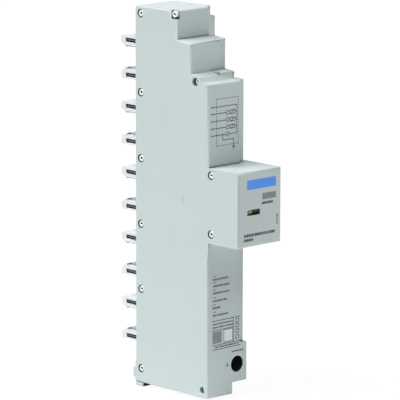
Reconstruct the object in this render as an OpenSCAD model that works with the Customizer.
// Combined surge arrester that clips onto five vertical-plane busbars: L1, L2, L3, N and PE.
// A riveted two-part housing holds three varistor and spark gap branches, each with a soldered
// disconnector arm, one more spark gap from neutral to earth, a trip bar that shows green or red
// in the window, an earth terminal with a rising cage and a sprung release slide.
// Sizes are in millimetres. Inside the modules x runs from the left side face to the right,
// depth runs from the rear plane to the front, and z runs up from the housing's bottom.

/* [Busbars] */
// Distance between neighbouring busbars
bar_pitch = 40; // [38:0.5:46]
// Height of a busbar's flat side
bar_h = 12; // [10:0.5:13]
// Height of the lowest busbar's centre above the housing's bottom
low_bar_z = 38.1; // [36:0.1:42]
// Height of the housing above the highest busbar's centre
head_h = 31.9; // [30:0.1:38]

/* [Housing] */
// Width of the left shell, from the side face to the seam
shell_w = 26.3; // [26:0.1:30]
// Width of the right cover, from the seam to its side face
cover_w = 5.9; // [4.5:0.1:8]
// Thickness of the housing's walls
wall = 2; // [1.6:0.1:2.4]
// Depth of the long front face
main_d = 62.5; // [60:0.5:70]
// Depth of the small lip above the long front
lip_d = 55.7; // [54:0.1:58]
// Depth of the second step
second_d = 48; // [46:0.1:51]
// Depth of the top step
top_d = 35.6; // [33:0.1:40]
// Height of the top step
top_step_h = 17; // [14:0.1:20]
// Height of the second step
second_step_h = 18.9; // [15:0.1:20]
// Height from the second step's foot down to the lip's front edge
lip_drop = 1.7; // [1:0.1:2.5]
// Height of the lip's front
lip_h = 2.3; // [1.5:0.1:3.5]
// Fall of each ledge towards the front, for drainage and draft
ledge_fall = 1.3; // [0.5:0.1:2]
// How far the right cover's main front lies behind the shell's
cover_back = 2.3; // [1:0.1:3]
// How far the cover's front lies back at the lip
cover_lip_back = 1.7; // [1.2:0.1:2]
// How far the cover's front lies back at the second step
cover_step_back = 3.5; // [2.5:0.1:4.5]
// How much lower the cover's ledges are than the shell's
cover_drop = 0.7; // [0.3:0.1:1]
// Fall of each of the cover's ledges towards the front
cover_fall = 0.6; // [0.4:0.1:1]
// Radius of the cover's front edges
cover_edge_r = 1.6; // [1:0.1:2.8]
// Radius of the cover's front edge at the lip
cover_lip_r = 4.2; // [3:0.1:4.4]
// Width of the cover's strip that laps over the shell at the second step
second_lap = 2.6; // [1:0.1:5]
// Width of the corner pockets at the top front edge, from the side faces
pocket_w = 5; // [4:0.1:6]
// Width of the corner pocket in the left side face
corner_w = 2.7; // [2:0.1:4]
// Height and depth of the corner pockets
pocket_h = 4.9; // [4.5:0.1:5.5]
// Left edge of the level part of the lip's ledge
level_x = 16.2; // [12:0.1:20]
// Height of the rear pad at the bottom
pad_h = 13; // [10:0.5:16]
// How far the rear pad stands out
pad_out = 0.8; // [0.4:0.1:1.2]

/* [Nose] */
// Height of the nose's lower edge above the housing's bottom
nose_z = 94.6; // [92:0.1:97]
// Height of the nose at its root
nose_h = 45; // [44:0.1:48]
// How far the nose stands out from the long front
nose_out = 25; // [20:0.5:28]
// Width of the nose
nose_w = 35.9; // [34:0.1:38]
// Taper of the nose's top and bottom faces over their length
nose_taper = 0.1; // [0:0.1:1]
// Radius of the nose's front edges, drawn as chamfers
nose_edge = 1; // [0.5:0.1:1.5]
// Thickness of the shell's side plate beside the nose
nose_plate = 1.2; // [0.8:0.1:1.6]
// Thickness of the hood's walls
hood_wall = 1.8; // [1.4:0.1:2.2]
// How far the hood's right cheek reaches back behind the long front
cheek_reach = 12.5; // [8:0.5:16]
// Left edge of the window in the hood
window_x = 8; // [7.5:0.1:9]
// Width of the window
window_w = 10.4; // [9:0.1:11]
// Height of the window
window_h = 3.4; // [3:0.1:3.6]
// Height of the window's centre above the nose's lower edge
window_rise = 20.6; // [19:0.1:24]

/* [Busbar claws] */
// How far the claws' arms end short of the seam
claw_short = 2.3; // [1.3:0.1:4]
// Reach of the arms behind the housing
claw_reach = 12.8; // [11:0.1:14]
// Thickness of an arm over the contact leg
claw_t = 6; // [5.5:0.1:6.5]
// Length of the pocket in each arm
claw_slot_l = 8.8; // [8:0.1:9]
// Height of the pocket in each arm
claw_slot_h = 2.3; // [1.6:0.1:2.5]
// Wall over the pocket of an upper arm
upper_skin = 1.6; // [1:0.1:1.8]
// Wall under the pocket of a lower arm
lower_skin = 1.1; // [1:0.1:1.5]
// Thickness of the claw's base plate inside the housing
claw_base_t = 1.4; // [1:0.1:2]
// Thickness of the contact sheet
clip_t = 1; // [0.8:0.1:1.2]
// Length of the contact legs behind the housing
clip_leg = 8; // [7:0.1:8.5]
// Thickness of the steel inserts in the pockets
insert_t = 0.8; // [0.5:0.1:1]

/* [Poles] */
// Thickness of a varistor block
varistor_t = 6.5; // [5:0.1:7]
// Height of a varistor block
varistor_h = 32; // [28:0.5:34]
// Depth of a varistor's rear edge
varistor_d = 14; // [13.5:0.1:16]
// Diameter of a branch spark gap
gap_dia = 14; // [12:0.5:14.5]
// Diameter of the neutral to earth spark gap
npe_gap_dia = 18; // [16:0.5:20]
// Height of the neutral to earth spark gap
npe_gap_h = 15.5; // [12:0.5:18]
// Thickness of the copper bars
copper_t = 1.5; // [1.2:0.1:1.6]
// Radius of the disconnector pivot posts
post_r = 2; // [1.6:0.1:2.2]
// Depth of the disconnector pivots
pivot_d = 9; // [8.8:0.1:9.4]
// Length of a disconnector arm from its pivot
arm_l = 29.5; // [27:0.1:30]
// Height of a disconnector arm's bar
arm_h = 5; // [4:0.1:5.5]
// Swing of an arm from the solder joint to the trip bar, in degrees
arm_swing = 18; // [15:1:18]

/* [Trip bar] */
// Travel of the trip bar from green to red
trip_travel = 4; // [3.8:0.1:4.2]
// Width of the trip bar
trip_w = 3; // [2.5:0.1:4]
// Wire diameter of the disconnector and trip springs
fine_wire = 0.6; // [0.4:0.1:0.8]

/* [Earth terminal] */
// Distance of the screw's axis from the right side face
screw_side = 7.9; // [7.2:0.1:8.1]
// Height of the screw's axis
screw_z = 17.9; // [17:0.1:18.5]
// Radius of the round hole in front of the screw
access_r = 5; // [4.6:0.1:5.1]
// Radius of the screw's head
head_r = 4.2; // [3.6:0.1:4.3]
// Nominal thread radius of the screw
thread_r = 2.5; // [2:0.25:2.5]
// Radius of the conductor's entry hole
entry_r = 3.5; // [3:0.1:3.6]
// Gap for the conductor in the open cage
wire_gap = 7.2; // [6:0.1:7.4]
// Travel of the cage from open to closed
cage_travel = 4.8; // [4:0.1:4.9]
// Height of the open notch under the terminal
notch_h = 7.1; // [5.5:0.1:7.6]
// Width of the notch, from the right side face
notch_w = 11.8; // [11.4:0.1:12.2]
// Height of the terminal block
term_h = 23.4; // [22:0.1:25]

/* [Release slide] */
// Travel of the slide when it is pulled down
slide_travel = 4; // [3:0.1:5]
// Right edge of the slide
slide_x = 7.4; // [7:0.1:8.5]
// How far the slide's nose stands out behind the housing
latch_out = 3.3; // [2:0.1:4]
// Height of the slide's foot below the housing
foot_h = 2.7; // [2:0.1:4]
// Depth of the foot's front face
foot_d = 5.3; // [4.5:0.1:6]
// Wire diameter of the release spring
slide_wire = 0.7; // [0.5:0.1:0.9]

/* [Rivets] */
// Depth of the rear column of rivets
rivet_d = 4.3; // [4.1:0.1:4.6]
// Radius of a rivet's shank
rivet_r = 1.5; // [1.2:0.1:1.6]
// Radius of a rivet's head
rivet_head_r = 2.1; // [1.9:0.1:2.2]
// Radius of the hole through a rivet
rivet_bore_r = 0.75; // [0.5:0.05:0.9]
// Radius of the counterbore round a head
sink_r = 2.6; // [2.4:0.1:2.8]
// Depth of the shallow counterbores
sink_t = 0.9; // [0.6:0.1:1.1]
// Depth of the deep counterbores
deep_sink_t = 2.6; // [2:0.1:3.5]

/* [Clearances] */
// Side clearance of sliding plastic pieces
slide_gap = 0.3; // [0.2:0.05:0.4]
// Radial clearance of running fits
run_gap = 0.05; // [0.02:0.01:0.1]
// Side clearance of pieces that plug together
plug_gap = 0.1; // [0.05:0.05:0.2]

/* [Hidden] */
$fn = 48;

shell_colour = [0.80, 0.83, 0.83];
copper_colour = [0.80, 0.50, 0.32];
tin_colour = [0.74, 0.75, 0.74];
steel_colour = [0.66, 0.67, 0.68];
black_colour = [0.12, 0.13, 0.14];

// Busbar places, from L1 at the top to PE at the bottom
BARS = 5;
POLES = 3;
function bar_z(k) = low_bar_z + (BARS - 1 - k) * bar_pitch;
body_w = shell_w + cover_w;
claw_w = shell_w - claw_short;
housing_h = bar_z(0) + head_h;
nose_d = main_d + nose_out;
nose_top = nose_z + nose_h;
window_z = nose_z + window_rise;

// Stepped side outline of the two housing halves
ledge_1 = housing_h - top_step_h;
ledge_2 = ledge_1 - second_step_h;
lip_top = ledge_2 - lip_drop;
main_top = lip_top - lip_h;
shell_depths = [main_d, lip_d, second_d, top_d];
shell_heights = [main_top - ledge_fall, main_top, lip_top, ledge_2, ledge_1 - ledge_fall, ledge_1, housing_h];
top_cover_back = 0.1;
cover_depths = [
    main_d - cover_back, lip_d - cover_lip_back, second_d - cover_step_back, top_d - top_cover_back
];
cover_roots = [main_top - cover_drop, ledge_2 - cover_drop, ledge_1 - cover_drop];
cover_heights = concat([for (root = cover_roots) each [root - cover_fall, root]], [housing_h]);
level_drop = 0.1;

// Claw and clip heights, measured from a busbar's centre
clip_in = bar_h / 2 + run_gap;
claw_in = clip_in + clip_t;
claw_out = claw_in + claw_t;
function slot_mid(side) = claw_out - claw_slot_h / 2 - (side > 0 ? upper_skin : lower_skin);
neck_out = claw_out - 1;
base_out = claw_out + 0.5;
clip_d = wall + claw_base_t;

// Places inside a pole, measured from its centre, which lies below its busbar's centre
pole_drop = 5;
function pole_z(k) = bar_z(k) - pole_drop;
tab_t = 1.4;
solder_t = 0.3;
arm_t = 1.5;
varistor_x = wall + varistor_t;
arm_x = varistor_x + tab_t + solder_t;
knife_x = arm_x + arm_t;
post_x = knife_x + clip_t + 1;
varistor_front = second_d - wall - 2;
pivot_rise = 8;
tab_from_tip = 8.5;
tab_d = pivot_d + arm_l - tab_from_tip;
tab_l = 8;
tab_h = 8;
gap_rise = -6;
gap_x = knife_x + clip_t + 0.5;
gap_d = varistor_d + 3;
bar_x = shell_w - 1.3;
bar_d = [12, 22];
bar_top = pole_z(0) + 4;
link_h = 8;
npe_x = 15;
npe_d = 24;
foot_half = 9;
foot_left = npe_x - foot_half + 1;
foot_t = 1.2;
earth_z = low_bar_z + 4;
npe_z = earth_z + copper_t;
neutral_z = npe_z + npe_gap_h;

// Trip bar places
trip_x = [arm_x, arm_x + trip_w];
trip_d = [pivot_d + arm_l + 2.5, pivot_d + arm_l + 5.5];
arm_tip_drop = arm_l * sin(arm_swing) + arm_h / 2 * cos(arm_swing);
function lug_top(k) = pole_z(k) + pivot_rise - arm_tip_drop - 0.3;
lug_h = 3;
flag_drop = 9;
trip_bottom = min(lug_top(POLES - 1) - lug_h - 2, window_z - flag_drop);
trip_spring_l = 14.5;
trip_seat_t = 1.5;
trip_top = lug_top(0) + 2;
lens_t = 1;
flag_t = 1.4;
tile_t = 0.4;
lens_gap = 0.5;
flag_d = nose_d - hood_wall - lens_t - lens_gap - tile_t;
flag_x = [window_x - 1, window_x + window_w + 3];

// Terminal places, from the conductor to the front
screw_x = body_w - screw_side;
notch_x = body_w - notch_w;
term_wall = 1.5;
term_top = notch_h + term_h;
cage_wall = 1.5;
cage_nut_t = 3;
cage_w = 9.6;
cage_h = 12;
cage_side_gap = 0.3;
term_x = screw_x - cage_w / 2 - cage_side_gap - term_wall;
term_d = 25.2;
cage_d = term_d + wall + 0.5;
plate_d = cage_d + cage_wall + wire_gap;
plate_front = plate_d + copper_t;
nut_d = plate_front + 0.7;
head_d = nut_d + cage_nut_t + cage_travel + 0.8;
head_t = 3;
tunnel_d = head_d + head_t + 0.3;
plate_w = 6;
plate_drop = 7;
tunnel_r = screw_side - wall;
slot_l = 6.8;
cross_l = 5.2;
slot_w = 1.2;

// Release slide places
slide_x0 = 0.4;
stem_x = wall + slide_gap;
plate_top = rivet_d + 0.5;
latch_z = [2.3, 8.6];
stem_d = [8.4, 10.8];
shoulder_z = 27;
stem_top = shoulder_z + 3;
seat_z = [13, 14.2];
spring_d = stem_d[1] + 3.4;
seat_reach = 7;
seat_d = stem_d[1] + seat_reach;
shoulder_l = 6.4;

// Rivet places: the rear column lies midway between the busbars
low_rivet_z = 8.8;
top_rivet_drop = 4.4;
rear_rivets = concat(
    [housing_h - top_rivet_drop],
    [for (k = [0 : BARS - 2]) (bar_z(k) + bar_z(k + 1)) / 2],
    [low_rivet_z]
);
nose_rivets = [[main_d + 2.5, nose_top - 4], [main_d + 2.5, nose_z + 5.8]];
lip_rivet = [lip_d - 4.1, main_top - 0.5];
corner_in = rivet_head_r + plug_gap;
corner_rivet = [top_d - corner_in, housing_h - corner_in];
corner_boss_r = rivet_r + plug_gap + 0.45;
corner_end_x = body_w - pocket_w + 0.1;
cover_pocket_h = pocket_h + 0.6;
lip_rivet_end_x = body_w - deep_sink_t;
foot_sink = [main_d - 4.6, 4.9];
foot_sink_r = rivet_head_r + plug_gap;
foot_end_x = deep_sink_t + wall;
boss_r = 3.2;
nose_pad = sink_t + 1.4;

// Round mark that the mould's ejector leaves on the side face
mark_d = 42.5;
mark_r = 2.3;
mark_deep = 0.15;
head_rise = 0.6;

// Moves a piece from the left side face to the part's own frame at the middle busbar
module placed() {
    translate([-body_w / 2, 0, -bar_z(2)]) children();
}

// Range of a given width round a centre, and a range in rising order
function span(centre, width) = [centre - width / 2, centre + width / 2];
function rising(a, b) = [min(a, b), max(a, b)];

// Box from ranges of x, depth and z
module block(x, d, z) {
    translate([x[0], -d[1], z[0]]) cube([x[1] - x[0], d[1] - d[0], z[1] - z[0]]);
}

// Prism with a side outline of [depth, z] points
module side_slab(x, points) {
    translate([x[0], 0, 0])
        rotate([90, 0, 90])
            linear_extrude(height = x[1] - x[0])
                polygon([for (p = points) [-p[0], p[1]]]);
}

// Round rods along the three axes
module rod_x(x, d, z, r) {
    translate([x[0], -d, z]) rotate([0, 90, 0]) cylinder(h = x[1] - x[0], r = r);
}

module rod_y(x, d, z, r) {
    translate([x, -d[0], z]) rotate([90, 0, 0]) cylinder(h = d[1] - d[0], r = r);
}

module rod_z(x, d, z, r) {
    translate([x, -d, z[0]]) cylinder(h = z[1] - z[0], r = r);
}

// Stepped outline, drawn in by a wall's thickness for the cavity
function stepped(d, h, inset) = [
    [inset, inset], [d[0] - inset, inset],
    [d[0] - inset, h[0] - inset], [d[1] - inset, h[1] - inset],
    [d[1] - inset, h[2] - inset], [d[2] - inset, h[3] - inset],
    [d[2] - inset, h[4] - inset], [d[3] - inset, h[5] - inset],
    [d[3] - inset, h[6] - inset], [inset, h[6] - inset]
];

// Side outline of the nose from a given depth to its front
function nose_outline(back, inset) = [
    [back, nose_z + inset], [main_d, nose_z + inset],
    [nose_d - nose_edge - inset, nose_z + nose_taper + inset],
    [nose_d - inset, nose_z + nose_taper + nose_edge + inset],
    [nose_d - inset, nose_top - nose_taper - nose_edge - inset],
    [nose_d - nose_edge - inset, nose_top - nose_taper - inset],
    [main_d, nose_top - inset], [back, nose_top - inset]
];

// Unit vectors and moving frames for the wire springs
function unit(v) = v / norm(v);
function tangents(path) = [
    for (i = [0 : len(path) - 1]) unit(path[min(i + 1, len(path) - 1)] - path[max(i - 1, 0)])
];
function normals(t, start, i = 0) =
    let (n = unit(start - (start * t[i]) * t[i]))
    i == len(t) - 1 ? [n] : concat([n], normals(t, n, i + 1));

// Round wire along a path of points, with the first ring square to the start direction
module wire(path, r, start, sides = 8) {
    t = tangents(path);
    n = normals(t, start);
    rings = len(path);
    points = [
        for (i = [0 : rings - 1], k = [0 : sides - 1])
            let (a = 360 * k / sides)
            path[i] + r * (cos(a) * n[i] + sin(a) * cross(t[i], n[i]))
    ];
    walls = [
        for (i = [0 : rings - 2], k = [0 : sides - 1], half = [0, 1])
            let (a = i * sides + k)
            let (b = i * sides + (k + 1) % sides)
            half == 0 ? [b + sides, b, a] : [a + sides, b + sides, a]
    ];
    start_cap = [for (k = [0 : sides - 1]) k];
    end_cap = [for (k = [sides - 1 : -1 : 0]) (rings - 1) * sides + k];
    polyhedron(points = points, faces = concat(walls, [start_cap, end_cap]));
}

// Helix about z from z0 to z1, with flat end turns
function coil_path(r, z0, z1, turns) = [
    for (i = [0 : 12 * (turns + 2)])
        let (a = 30 * i)
        let (s = min(max((i - 12) / (12 * turns), 0), 1))
        [r * cos(a), r * sin(a), z0 + (z1 - z0) * s]
];

// Shallow counterbore with the rivet's hole in a side wall or boss
module rivet_cut(p, depth, x_end) {
    rod_x([-1, depth], p[0], p[1], sink_r);
    rod_x([0, x_end], p[0], p[1], rivet_r + plug_gap);
}

// Left shell: side plate, rim, rear pad, rivet bosses, pivot posts and guides
module left_shell() color(shell_colour) placed() {
    difference() {
        union() {
            difference() {
                shell_rim();
                terminal_space([notch_x, term_x]);
            }
            terminal_chamber();
            shell_bosses();
            shell_guides();
        }
        shell_rear_cuts();
        shell_front_cuts();
        shell_rivet_cuts();
    }
}

module shell_rim() {
    difference() {
        union() {
            side_slab([0, shell_w], stepped(shell_depths, shell_heights, 0));
            block([0, shell_w], [-pad_out, wall], [0, pad_h]);
        }
        side_slab([wall, shell_w + 1], stepped(shell_depths, shell_heights, wall));
    }
    side_slab([0, nose_plate], nose_outline(main_d - wall, 0));
    // Flange along the seam, from the shell's front back to the cover's
    difference() {
        side_slab([shell_w - wall, shell_w], stepped(shell_depths, shell_heights, wall / 2));
        side_slab([shell_w - wall - 1, shell_w + 1], stepped(cover_depths, cover_heights, wall));
    }
    // Floor and cheek behind the cover's strip at the second step
    lap_d = [cover_depths[2] - wall, second_d - wall / 2];
    block([lap_x - wall, shell_w], lap_d, [ledge_2 - wall, ledge_2]);
    block([lap_x - wall, lap_x], lap_d, [ledge_2 - wall, ledge_1 - wall]);
    // Level part of the lip's ledge
    side_slab([level_x, shell_w], [
        [second_d - wall / 2, ledge_2 - 1], [lip_d, lip_top - 1],
        [lip_d, ledge_2 - level_drop], [second_d - wall / 2, ledge_2 - level_drop]
    ]);
    // Walls round the notch under the terminal
    block([notch_x - wall, notch_x], [term_d - wall, main_d], [0, notch_h]);
    block([notch_x - wall, shell_w], [term_d - wall, term_d], [0, notch_h + wall]);
}

// Room of the notch and the chamber, cut out of a housing half from the given x
module terminal_space(x) {
    block([x[0], body_w + 1], [term_d, main_d + 1], [-1, notch_h]);
    block([x[1], body_w + 1], [term_d, main_d + 1], [notch_h, term_top]);
}

// Chamber of the earth terminal, open to the cover's side plate, with the screw's tunnel
module terminal_chamber() {
    inner_x = body_w - wall;
    difference() {
        union() {
            difference() {
                block([term_x, inner_x], [term_d, main_d], [notch_h, term_top]);
                block([term_x + term_wall, inner_x + 1], [term_d + wall, main_d - wall],
                      [notch_h + wall, term_top - wall]);
            }
            block([inner_x - 1, body_w], [main_d - wall, main_d], [notch_h, term_top]);
            rod_y(screw_x, [tunnel_d, main_d], screw_z, tunnel_r);
        }
        rod_y(screw_x, [tunnel_d - 1, main_d + 1], screw_z, access_r);
        rod_z(screw_x, plate_d - wire_gap / 2, [notch_h - 1, notch_h + wall + 1], entry_r);
        block([screw_x - plate_w / 2 - plug_gap, screw_x + plate_w / 2 + plug_gap],
              [plate_d - plug_gap, plate_front + plug_gap], [term_top - wall - 1, term_top + 1]);
    }
}

module shell_bosses() {
    for (z = rear_rivets) rod_x([0, shell_w], rivet_d, z, boss_r);
    for (p = nose_rivets) rod_x([0, nose_pad], p[0], p[1], boss_r);
    rod_x([0, shell_w], lip_rivet[0], lip_rivet[1], boss_r);
    block([0, shell_w], [top_d - pocket_h - wall, top_d], [housing_h - pocket_h - wall, housing_h]);
    rod_x([0, foot_end_x], foot_sink[0], foot_sink[1], boss_r);
    for (k = [0 : POLES - 1]) rod_x([wall, post_x], pivot_d, pole_z(k) + pivot_rise, post_r);
}

module shell_guides() {
    // Channels that guide the trip bar, between the varistors
    for (k = [0 : POLES - 2]) {
        mid = (pole_z(k) + pole_z(k + 1)) / 2;
        difference() {
            block([wall, trip_x[1] + 1.5], [trip_d[0] - 2, trip_d[1] + 2], [mid - 2.5, mid + 2.5]);
            block([trip_x[0] - slide_gap, trip_x[1] + 2],
                  [trip_d[0] - slide_gap, trip_d[1] + slide_gap], [mid - 3, mid + 3]);
        }
    }
    // Seat of the trip spring
    block([wall, trip_x[1] + 1], [trip_d[0] - 1, trip_d[1] + 1],
          [trip_bottom - trip_spring_l - trip_seat_t, trip_bottom - trip_spring_l]);
    // Seat of the release spring and the rib beside the slide
    rib_x = [slide_x + slide_gap, slide_x + slide_gap + 1.2];
    block([wall, rib_x[1]], [stem_d[1] + slide_gap, seat_d], seat_z);
    block(rib_x, [stem_d[0] - 1, seat_d], [seat_z[0], stem_top + 1]);
}

module shell_rear_cuts() {
    // Slots for the claws, open to the seam
    for (k = [0 : BARS - 1], side = [-1, 1]) {
        translate([0, 0, bar_z(k)])
            block([wall, shell_w + 1], [-1, wall],
                  rising(side * (clip_in - plug_gap), side * (neck_out + plug_gap)));
    }
    // Way of the release slide through the rear wall and the floor
    block([wall, slide_x + slide_gap], [-2, stem_d[1] + slide_gap], [-1, plate_top + 0.2]);
}

module shell_front_cuts() {
    // Opening behind the hood
    block([hood_spigot_x[0] - plug_gap, hood_spigot_x[1] + plug_gap], [main_d - wall - 1, main_d + 1],
          [hood_spigot_z[0] - plug_gap, hood_spigot_z[1] + plug_gap]);
    // Step for the cover's strip beside the second step
    block([lap_x, shell_w + 1], [cover_depths[2] - wall, second_d + 1], [ledge_2, ledge_1 + 1]);
    // Corner pocket at the top front edge, round the boss that carries the rivet's head
    difference() {
        block([-1, corner_w], [top_d - pocket_h, top_d + 1], [housing_h - pocket_h, housing_h + 1]);
        rod_x([sink_t, corner_w + 1], corner_rivet[0], corner_rivet[1], corner_boss_r);
    }
    // Shallow ejector mark on the side face
    rod_x([-1, mark_deep], mark_d, bar_z(2), mark_r);
}

module shell_rivet_cuts() {
    for (z = rear_rivets) rivet_cut([rivet_d, z], sink_t, shell_w + 1);
    for (p = nose_rivets) rivet_cut(p, sink_t, nose_pad + 1);
    rivet_cut(lip_rivet, deep_sink_t, shell_w + 1);
    rod_x([0, shell_w + 1], corner_rivet[0], corner_rivet[1], rivet_r + plug_gap);
    rod_x([-1, deep_sink_t], foot_sink[0], foot_sink[1], foot_sink_r);
    rod_x([0, foot_end_x + 1], foot_sink[0], foot_sink[1], rivet_r + plug_gap);
}

// Right cover: side plate and rim with rounded front edges
cover_x = [shell_w, body_w];
lap_x = shell_w - second_lap;

module right_cover() color(shell_colour) placed() {
    difference() {
        union() {
            cover_rim();
            cover_posts();
        }
        cover_cuts();
    }
}

module cover_rim() {
    outline = stepped(cover_depths, cover_heights, 0);
    difference() {
        side_slab(cover_x, outline);
        side_slab([shell_w - 1, body_w - wall], stepped(cover_depths, cover_heights, wall));
        edge_cut(cover_depths[0], term_top, cover_heights[1], cover_edge_r);
        lip_edge_cut();
        edge_cut(cover_depths[2], cover_heights[3], cover_heights[5], cover_edge_r);
        edge_cut(cover_depths[3], cover_heights[5], housing_h + 1, cover_edge_r);
        terminal_space([shell_w - 1, shell_w - 1]);
    }
    // Side of the terminal's chamber, up to the shell's front wall
    block([body_w - wall, body_w], [term_d, main_d - wall], [notch_h, term_top]);
    // Wall behind the notch
    block(cover_x, [term_d - wall, term_d], [0, notch_h + wall]);
    // Strip that laps over the shell at the second step
    intersection() {
        side_slab([lap_x, shell_w], outline);
        block([lap_x - 1, shell_w + 1], [cover_depths[2] - wall, cover_depths[2] + 1],
              [ledge_2, ledge_1 + 5]);
    }
}

// Takes the sharp corner off one front edge of the cover, between two heights
module edge_cut(d, z0, z1, r) {
    difference() {
        block([body_w - r, body_w + 1], [d - r, d + 1], [z0, z1]);
        rod_z(body_w - r, d - r, [z0 - 1, z1 + 1], r);
    }
}

module lip_edge_cut() {
    edge_cut(cover_depths[1], cover_heights[1], cover_heights[3], cover_lip_r);
}

module cover_posts() {
    for (z = rear_rivets) rod_x([shell_w, body_w], rivet_d, z, boss_r);
    difference() {
        intersection() {
            rod_x(cover_x, lip_rivet[0] - 1.5, lip_rivet[1], boss_r);
            side_slab(cover_x, stepped(cover_depths, cover_heights, 0));
        }
        lip_edge_cut();
    }
    block([shell_w, body_w - pocket_w + wall], [top_d - pocket_h - wall, cover_depths[3]],
          [housing_h - pocket_h - wall, housing_h]);
    // Posts that press the copper bar onto the spark gaps
    for (k = [0 : POLES - 1]) rod_x([bar_x + copper_t, body_w - wall], gap_d, pole_z(k) + gap_rise, 3);
}

module cover_cuts() {
    for (z = rear_rivets) {
        rod_x([body_w - sink_t, body_w + 1], rivet_d, z, sink_r);
        rod_x([shell_w - 1, body_w], rivet_d, z, rivet_r + plug_gap);
    }
    rod_x([lip_rivet_end_x, body_w + 1], lip_rivet[0], lip_rivet[1], rivet_head_r + plug_gap);
    rod_x([shell_w - 1, body_w], lip_rivet[0], lip_rivet[1], rivet_r + plug_gap);
    rod_x([shell_w - 1, body_w], corner_rivet[0], corner_rivet[1], rivet_r + plug_gap);
    // Corner pocket at the top front edge
    block([corner_end_x, body_w + 1], [top_d - pocket_h, top_d + 1],
          [housing_h - cover_pocket_h, housing_h + 1]);
}

// Front hood: the nose's cap, with a spigot in the shell and a cheek beside the cover
hood_x = [nose_plate + plug_gap, nose_w];
spigot_side = 2.1;
spigot_margin = 9.6;
hood_spigot_x = [wall + spigot_side - 0.1, shell_w - spigot_side];
hood_spigot_z = [nose_z + spigot_margin, nose_top - spigot_margin];
cheek_d = main_d - cheek_reach;

module front_hood() color(shell_colour) placed() {
    difference() {
        union() {
            difference() {
                hood_block();
                hood_cavity();
            }
            // Rear wall with the spigot that enters the shell
            block([hood_x[0], shell_w], [main_d, main_d + hood_wall],
                  [nose_z + hood_wall / 2, nose_top - hood_wall / 2]);
            block(hood_spigot_x, [main_d - wall - 1, main_d + hood_wall], hood_spigot_z);
            for (p = nose_rivets) rod_x([hood_x[0], nose_w], p[0] + 0.7, p[1], boss_r);
        }
        // Way of the flag's arm through the spigot
        block([hood_spigot_x[0] + hood_wall, hood_spigot_x[1] - hood_wall],
              [main_d - wall - 2, main_d + hood_wall + 1],
              [hood_spigot_z[0] + hood_wall, hood_spigot_z[1] - hood_wall]);
        // Window
        block([window_x, window_x + window_w], [nose_d - hood_wall - 1, nose_d + 1],
              [window_z - window_h / 2, window_z + window_h / 2]);
        // Rivets: room for the shell's pads, the holes and the right counterbores
        for (p = nose_rivets) {
            rod_x([0, nose_pad + plug_gap], p[0], p[1], boss_r + plug_gap);
            rod_x([0, nose_w + 1], p[0], p[1], rivet_r + plug_gap);
            rod_x([nose_w - sink_t, nose_w + 1], p[0], p[1], sink_r);
        }
    }
}

module hood_block() {
    difference() {
        union() {
            side_slab(hood_x, nose_outline(main_d, 0));
            side_slab([shell_w + plug_gap, nose_w], nose_outline(cover_depths[0] + plug_gap, 0));
            side_slab([body_w + plug_gap, nose_w], nose_outline(cheek_d, 0));
        }
        // Rounded right front edge
        difference() {
            block([nose_w - nose_edge, nose_w + 1], [nose_d - nose_edge, nose_d + 1],
                  [nose_z - 1, nose_top + 1]);
            rod_z(nose_w - nose_edge, nose_d - nose_edge, [nose_z - 2, nose_top + 2], nose_edge);
        }
    }
}

module hood_cavity() {
    side_slab([hood_x[0] + hood_wall, nose_w - hood_wall], nose_outline(cheek_d + hood_wall, hood_wall));
}

// Clear lens: a flange behind the hood's front and a raised pane in its window
module window_lens() color([0.85, 0.90, 0.92, 0.5]) placed() {
    inner = nose_d - hood_wall;
    block([window_x - 1.5, window_x + window_w + 1.5], [inner - lens_t, inner],
          [window_z - window_h / 2 - 1.5, window_z + window_h / 2 + 1.5]);
    block([window_x + run_gap, window_x + window_w - run_gap], [inner - lens_t, nose_d - 0.3],
          [window_z - window_h / 2 + run_gap, window_z + window_h / 2 - run_gap]);
}

// Hollow rivets, with a rolled head at each end
module rivet(x, p) {
    difference() {
        union() {
            rod_x([x[0] - head_rise, x[0]], p[0], p[1], rivet_head_r);
            rod_x([x[0] - head_rise, x[1] + head_rise], p[0], p[1], rivet_r);
            rod_x([x[1], x[1] + head_rise], p[0], p[1], rivet_head_r);
        }
        rod_x([x[0] - 2, x[1] + 2], p[0], p[1], rivet_bore_r);
    }
}

module housing_rivets() color(steel_colour) placed() {
    for (z = rear_rivets) rivet([sink_t, body_w - sink_t], [rivet_d, z]);
    rivet([deep_sink_t, lip_rivet_end_x], lip_rivet);
    rivet([deep_sink_t, foot_end_x], foot_sink);
    rivet([sink_t, corner_end_x], corner_rivet);
    for (p = nose_rivets) rivet([sink_t, nose_w - sink_t], p);
}

// Busbar claw: two arms behind the housing, joined by a base plate inside its rear wall
function arm_outline(side) = [
    for (p = [
        [-wall, neck_out], [0, neck_out], [0, claw_out], [claw_reach - 0.6, claw_out],
        [claw_reach, claw_out - 0.6], [claw_reach, claw_in + 1.9], [claw_reach - 0.5, claw_in + 1.3],
        [clip_leg + 1, clip_in + 0.3], [clip_leg + 0.1, clip_in + 0.1], [clip_leg + 0.1, claw_in],
        [-wall, claw_in]
    ]) [-p[0], side * p[1]]
];

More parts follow.
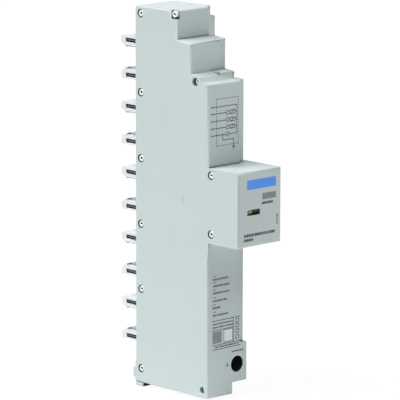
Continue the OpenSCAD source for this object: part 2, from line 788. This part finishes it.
module claw(k) color(shell_colour) placed() translate([0, 0, bar_z(k)]) {
    difference() {
        union() {
            for (side = [-1, 1]) {
                difference() {
                    side_slab([0, claw_w], arm_outline(side));
                    block([-1, wall + plug_gap], [0, wall + 1], [-base_out, base_out]);
                }
                block([claw_w - 1, shell_w], [0, wall + 0.5], rising(side * claw_in, side * neck_out));
            }
            block([wall + plug_gap, shell_w], [wall, clip_d], [-base_out, base_out]);
        }
        for (side = [-1, 1]) {
            // Pocket that opens on the left face of the arm
            block([-1, claw_w - wall], [-claw_slot_l, 0], span(side * slot_mid(side), claw_slot_h));
            // Way of the contact leg through the base plate
            block([wall, claw_w - 1], [wall - 1, clip_d + 1],
                  rising(side * (clip_in - run_gap), side * claw_in));
        }
    }
}

// Steel strips that stiffen the arms, seen in the open pockets
module claw_inserts() color(steel_colour) placed() {
    for (k = [0 : BARS - 1], side = [-1, 1])
        block([0.8, claw_w - wall], [-claw_slot_l, 0],
              span(bar_z(k) + side * slot_mid(side), insert_t));
}

// Contact clip: web behind the claw's base plate and two legs along the arms
clip_x = [wall + 0.3, claw_w - wall];

module clip_body(k) translate([0, 0, bar_z(k)]) {
    block(clip_x, [clip_d, clip_d + clip_t], [-claw_in, claw_in]);
    for (side = [-1, 1])
        block(clip_x, [-clip_leg, clip_d + clip_t / 2], rising(side * clip_in, side * claw_in));
}

// A pole's clip also has a knife tab that wipes the disconnector arm at its pivot
module pole_clip(k) color(tin_colour) placed() {
    pivot_z = pole_z(k) + pivot_rise;
    clip_body(k);
    difference() {
        block([knife_x, knife_x + clip_t], [clip_d, pivot_d + 3.2], [pivot_z - 3.2, pivot_z + 3.2]);
        rod_x([knife_x - 1, knife_x + clip_t + 1], pivot_d, pivot_z, post_r + run_gap);
    }
}

module busbar_clip(k) color(tin_colour) placed() clip_body(k);

// Varistor block with a solder tab on its face and a foot that carries the spark gap
module varistor(k) color([0.16, 0.25, 0.50]) placed() translate([0, 0, pole_z(k)]) {
    block([wall, varistor_x], [varistor_d, varistor_front], [-varistor_h / 2, varistor_h / 2]);
    block([varistor_x - 0.5, varistor_x + tab_t], [tab_d, tab_d + tab_l],
          [pivot_rise - tab_h / 2, pivot_rise + tab_h / 2]);
    block([varistor_x - 0.5, gap_x], [gap_d - 5, gap_d + 5],
          [gap_rise - gap_dia / 2 - 1.2, gap_rise - gap_dia / 2]);
    block([gap_x - 1.2, gap_x], [gap_d - 5, gap_d + 5], [gap_rise - gap_dia / 2 - 1.2, gap_rise + 4]);
}

// Low-melting solder between the tabs and the arms
module solder_pads() color([0.75, 0.76, 0.78]) placed() {
    for (k = [0 : POLES - 1])
        rod_x([varistor_x + tab_t, arm_x], tab_d + tab_l / 2, pole_z(k) + pivot_rise, arm_h / 2 - 0.4);
}

// Branch spark gap: a ceramic tube between two electrodes, sealed as one can
module spark_gap(k) color([0.86, 0.84, 0.80]) placed() {
    z = pole_z(k) + gap_rise;
    rim = 1.5;
    rod_x([gap_x, gap_x + rim], gap_d, z, gap_dia / 2);
    rod_x([gap_x, bar_x], gap_d, z, gap_dia / 2 - 0.8);
    rod_x([bar_x - rim, bar_x], gap_d, z, gap_dia / 2);
}

// Spark gap from neutral to earth, standing on the earth bar
module spark_gap_npe() color([0.86, 0.84, 0.80]) placed() {
    rim = 2;
    rod_z(npe_x, npe_d, [npe_z, npe_z + rim], npe_gap_dia / 2);
    rod_z(npe_x, npe_d, [npe_z, neutral_z], npe_gap_dia / 2 - 1);
    rod_z(npe_x, npe_d, [neutral_z - rim, neutral_z], npe_gap_dia / 2);
}

// Copper bar that joins the three spark gaps to the neutral clip and the fourth gap
module neutral_bar() color(copper_colour) placed() {
    link_z = span(bar_z(3), link_h);
    x = [bar_x, bar_x + copper_t];
    clip_face = clip_d + clip_t;
    block(x, bar_d, [neutral_z, bar_top]);
    block([foot_left, bar_x + copper_t], [npe_d - foot_half, npe_d + foot_half],
          [neutral_z, neutral_z + foot_t]);
    block(x, [clip_face, bar_d[1]], link_z);
    block([clip_x[1] - 5, x[1]], [clip_face, clip_face + copper_t], link_z);
}

// Copper bar from the earth clip to the terminal's clamping plate
module earth_bar() color(copper_colour) placed() {
    x = [screw_x - plate_w / 2, screw_x + plate_w / 2];
    block([foot_left, x[1]], [clip_d + clip_t, plate_front], [earth_z, npe_z]);
    block([foot_left, clip_x[1]], [clip_d + clip_t, clip_d + clip_t + copper_t], [low_bar_z - 5, npe_z]);
    block(x, [plate_d, plate_front], [screw_z - plate_drop, npe_z]);
}

// Disconnector arm: turns on its post and is soldered to the varistor's tab
module disconnector_arm(k) color(copper_colour) placed() {
    z = pole_z(k) + pivot_rise;
    x = [arm_x, arm_x + arm_t];
    difference() {
        union() {
            rod_x(x, pivot_d, z, post_r + 1.6);
            block(x, [pivot_d, pivot_d + arm_l], [z - arm_h / 2, z + arm_h / 2]);
        }
        rod_x([arm_x - 1, arm_x + arm_t + 1], pivot_d, z, post_r + run_gap);
    }
}

// Torsion spring of the arm: coils round the post, with a leg that bears on the arm's top edge
module disconnector_spring(k) color(steel_colour) placed() {
    r = fine_wire / 2;
    coil_r = post_r + 0.4 + r;
    x0 = wall + 1.6 + r;
    x1 = arm_x - 1.2 - r;
    lift = arm_h / 2 + r;
    turns = 4;
    steps = 12;
    helix = [
        for (i = [0 : turns * steps])
            let (a = 90 + 360 * i / steps)
            [x0 + (x1 - x0) * i / (turns * steps), -pivot_d + coil_r * cos(a), coil_r * sin(a)]
    ];
    leg = [
        [x1, -pivot_d - 2, max(coil_r, lift)], [x1, -pivot_d - 4, lift],
        [x1 + 0.6, -pivot_d - 5, lift], [arm_x + 1, -pivot_d - 5.6, lift]
    ];
    tail = [[x0, -pivot_d + 2.2, coil_r]];
    translate([0, 0, pole_z(k) + pivot_rise])
        wire(concat(tail, helix, leg), r, [0, 0, 1]);
}

// Trip bar: slides down when an arm strikes one of its lugs, and carries the flag to the window
module trip_bar() color(black_colour) placed() {
    block(trip_x, trip_d, [trip_bottom, trip_top]);
    for (k = [0 : POLES - 1])
        block(span(arm_x + arm_t / 2, arm_t + 1), [trip_d[0] - 5.5, trip_d[0] + 1],
              [lug_top(k) - lug_h, lug_top(k)]);
    block(trip_x, [trip_d[1] - 1, flag_d], [window_z - 4, window_z + 1.5]);
    block(flag_x, [flag_d - flag_t, flag_d],
          [window_z - window_h / 2 - 2, window_z + trip_travel + window_h / 2 + 1]);
}

// Two-colour tiles on the flag: green shows at rest and red when the bar has dropped
tile_x = [window_x + 0.3, window_x + 8];
tile_half = trip_travel / 2;

module flag_green() color([0.28, 0.48, 0.20]) placed() {
    block(tile_x, [flag_d, flag_d + tile_t], [window_z - tile_half, window_z + tile_half]);
}

module flag_red() color([0.75, 0.12, 0.10]) placed() {
    block(tile_x, [flag_d, flag_d + tile_t],
          [window_z + tile_half + 0.05, window_z + tile_half + trip_travel]);
}

// Light spring that holds the trip bar up at green
module trip_spring() color(steel_colour) placed() {
    r = fine_wire / 2;
    translate([(trip_x[0] + trip_x[1]) / 2, -(trip_d[0] + trip_d[1]) / 2, 0])
        wire(coil_path(1.6, trip_bottom - trip_spring_l + r, trip_bottom - r, 7), r, [1, 0, 0]);
}

// Rising cage of the terminal: a ring with the nut wall in front
module terminal_cage() color(steel_colour) placed() {
    x = [screw_x - cage_w / 2, screw_x + cage_w / 2];
    z = [screw_z - cage_h / 2, screw_z + cage_h / 2];
    difference() {
        block(x, [cage_d, nut_d + cage_nut_t], z);
        block([x[0] + 1.4, x[1] - 1.4], [cage_d + cage_wall, nut_d], [z[0] - 1, z[1] + 1]);
        rod_y(screw_x, [nut_d - 1, nut_d + cage_nut_t + 1], screw_z, thread_r + run_gap);
    }
}

// Terminal screw with a cross and slot head, seated against the clamping plate
module terminal_screw() color(steel_colour) placed() {
    difference() {
        union() {
            rod_y(screw_x, [plate_front, head_d + 1], screw_z, thread_r);
            rod_y(screw_x, [head_d, head_d + head_t], screw_z, head_r);
        }
        block(span(screw_x, slot_l), [head_d + 1.2, head_d + head_t + 1], span(screw_z, slot_w));
        block(span(screw_x, slot_w), [head_d + 1.2, head_d + head_t + 1], span(screw_z, cross_l));
    }
}

// Release slide: foot with a screwdriver slot, latch nose behind the housing and a sprung stem
module release_slide() color(shell_colour) placed() {
    x = [stem_x, slide_x];
    difference() {
        union() {
            block([slide_x0, slide_x], [-pad_out, foot_d], [-foot_h, -plug_gap]);
            block(x, [0.4, foot_d], [-foot_h, plate_top - 0.4]);
            block(x, [-latch_out, stem_d[1]], [latch_z[0], plate_top - 0.4]);
            block([slide_x0, slide_x], [-latch_out, -pad_out - 0.2], latch_z);
            block(x, stem_d, [latch_z[0], stem_top]);
            block(x, [stem_d[0], stem_d[1] + shoulder_l], [shoulder_z, stem_top]);
        }
        block([slide_x0 + 1, slide_x - 1.4], [foot_d - 3.2, foot_d + 1], [-foot_h + 0.5, -0.6]);
    }
}

// Compression spring between the shell's seat and the slide's shoulder
module release_spring() color(steel_colour) placed() {
    r = slide_wire / 2;
    translate([(stem_x + slide_x) / 2, -spring_d, 0])
        wire(coil_path(1.9, seat_z[1] + r, shoulder_z - r, 6), r, [1, 0, 0]);
}

left_shell();
right_cover();
front_hood();
window_lens();
housing_rivets();
claw(0);  // claw_l1
claw(1);  // claw_l2
claw(2);  // claw_l3
claw(3);  // claw_n
claw(4);  // claw_pe
claw_inserts();
pole_clip(0);  // busbar_clip_l1
pole_clip(1);  // busbar_clip_l2
pole_clip(2);  // busbar_clip_l3
busbar_clip(3);  // busbar_clip_n
busbar_clip(4);  // busbar_clip_pe
varistor(0);  // varistor_l1
varistor(1);  // varistor_l2
varistor(2);  // varistor_l3
solder_pads();
spark_gap(0);  // spark_gap_l1
spark_gap(1);  // spark_gap_l2
spark_gap(2);  // spark_gap_l3
spark_gap_npe();
neutral_bar();
earth_bar();
disconnector_arm(0);  // disconnector_arm_l1
disconnector_arm(1);  // disconnector_arm_l2
disconnector_arm(2);  // disconnector_arm_l3
disconnector_spring(0);  // disconnector_spring_l1
disconnector_spring(1);  // disconnector_spring_l2
disconnector_spring(2);  // disconnector_spring_l3
trip_bar();
flag_green();
flag_red();
trip_spring();
terminal_cage();
terminal_screw();
release_slide();
release_spring();
